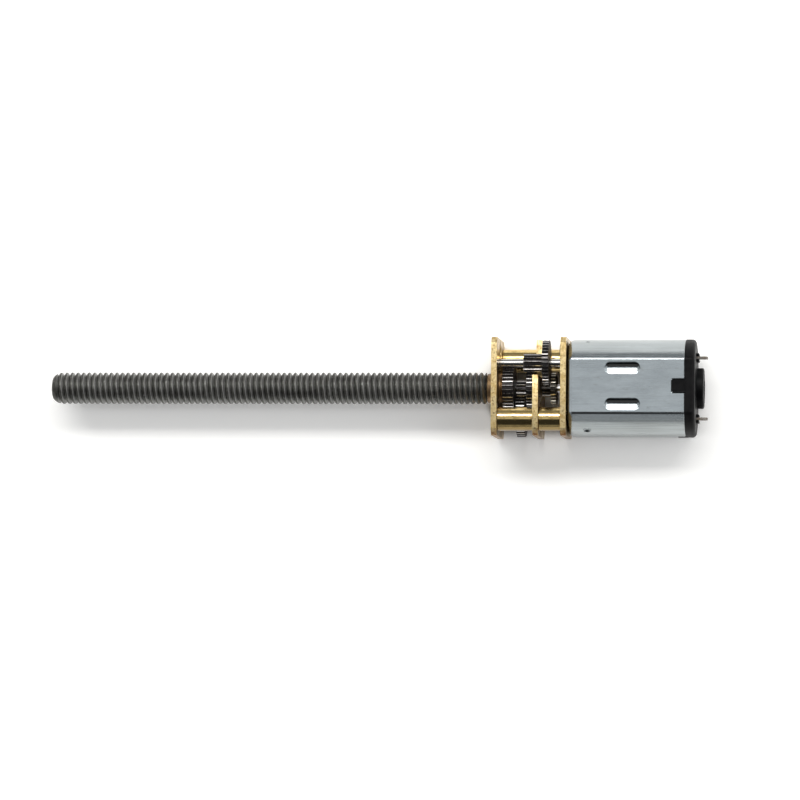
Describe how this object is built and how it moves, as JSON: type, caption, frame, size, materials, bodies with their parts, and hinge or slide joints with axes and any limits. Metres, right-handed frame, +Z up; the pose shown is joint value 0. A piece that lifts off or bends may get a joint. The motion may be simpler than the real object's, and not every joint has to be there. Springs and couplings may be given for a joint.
{
  "type": "gearmotor with lead screw",
  "caption": "Flat 12 mm gearmotor in an open brass-plate gearbox, with a long M4 threaded output shaft that drives a travelling nut.",
  "frame": {"origin": "bottom centre of the bounding box, in the middle of the flat side that the motor lies on", "axes": "+X along the main axis from the free end of the lead screw towards the terminals, +Y across the 12 mm width, +Z up out of the motor's upper flat"},
  "size_m": [0.0814, 0.012, 0.01],
  "materials": {
    "plate_brass": "satin, cut from sheet",
    "pillar_brass": "turned, semi-bright",
    "bush_bronze": "sintered bronze, dull",
    "gear_steel": "hobbed, lightly oiled",
    "pin_steel": "ground, bright",
    "screw_steel": "rolled thread, dark",
    "can_zinc": "zinc plated, satin",
    "cap_plastic": "moulded, fine texture",
    "magnet_ferrite": "sintered ferrite",
    "core_iron": "stacked laminations",
    "winding_copper": "enamelled wire",
    "terminal_tinned": "tinned strip"
  },
  "bodies": {
    "frame": {"front_plate": "plate_brass", "middle_plate": "plate_brass", "rear_plate": "plate_brass", "near_pillar_front": "pillar_brass", "near_pillar_rear": "pillar_brass", "far_pillar_front": "pillar_brass", "far_pillar_rear": "pillar_brass", "upper_gear_pin": "pin_steel", "lower_gear_pin": "pin_steel", "upper_motor_screw": "screw_steel", "lower_motor_screw": "screw_steel", "output_bush": "bush_bronze", "motor_can": "can_zinc", "end_cap": "cap_plastic", "front_bearing": "bush_bronze", "rear_bearing": "bush_bronze", "upper_magnet": "magnet_ferrite", "lower_magnet": "magnet_ferrite", "upper_terminal": "terminal_tinned", "lower_terminal": "terminal_tinned", "upper_brush": "winding_copper", "lower_brush": "winding_copper"},
    "output": {"lead_screw": "screw_steel", "output_gear": "gear_steel", "output_washer": "bush_bronze"},
    "gear_1": {"gear_1_wheel": "gear_steel", "gear_1_pinion": "gear_steel"},
    "gear_2": {"gear_2_wheel": "gear_steel", "gear_2_pinion": "gear_steel"},
    "gear_3": {"gear_3_wheel": "gear_steel", "gear_3_pinion": "gear_steel"},
    "rotor": {"motor_shaft": "pin_steel", "motor_pinion": "gear_steel", "pinion_disc": "bush_bronze", "rotor_core": "core_iron", "winding_1": "winding_copper", "winding_2": "winding_copper", "winding_3": "winding_copper", "commutator": "winding_copper"}
  },
  "joints": [
    {"name": "rotor_spin", "type": "hinge", "parent": "frame", "child": "rotor", "pos_m": [0.02083, 0, 0.005], "axis": [1, 0, 0], "continuous": true},
    {"name": "gear_1_spin", "type": "hinge", "parent": "frame", "child": "gear_1", "pos_m": [0.02104, 0.00295, 0.00706], "axis": [1, 0, 0], "continuous": true},
    {"name": "gear_2_spin", "type": "hinge", "parent": "frame", "child": "gear_2", "pos_m": [0.01903, 0, 0.005], "axis": [1, 0, 0], "continuous": true},
    {"name": "gear_3_spin", "type": "hinge", "parent": "frame", "child": "gear_3", "pos_m": [0.01764, -0.00295, 0.00294], "axis": [1, 0, 0], "continuous": true},
    {"name": "output_spin", "type": "hinge", "parent": "frame", "child": "output", "pos_m": [0.01633, 0, 0.005], "axis": [1, 0, 0], "continuous": true}
  ],
  "couplings": [
    {"joint": "gear_1_spin", "follows": "rotor_spin", "ratio": -0.33333},
    {"joint": "gear_2_spin", "follows": "rotor_spin", "ratio": 0.12381},
    {"joint": "gear_3_spin", "follows": "rotor_spin", "ratio": -0.036808},
    {"joint": "output_spin", "follows": "rotor_spin", "ratio": 0.0096864}
  ]
}
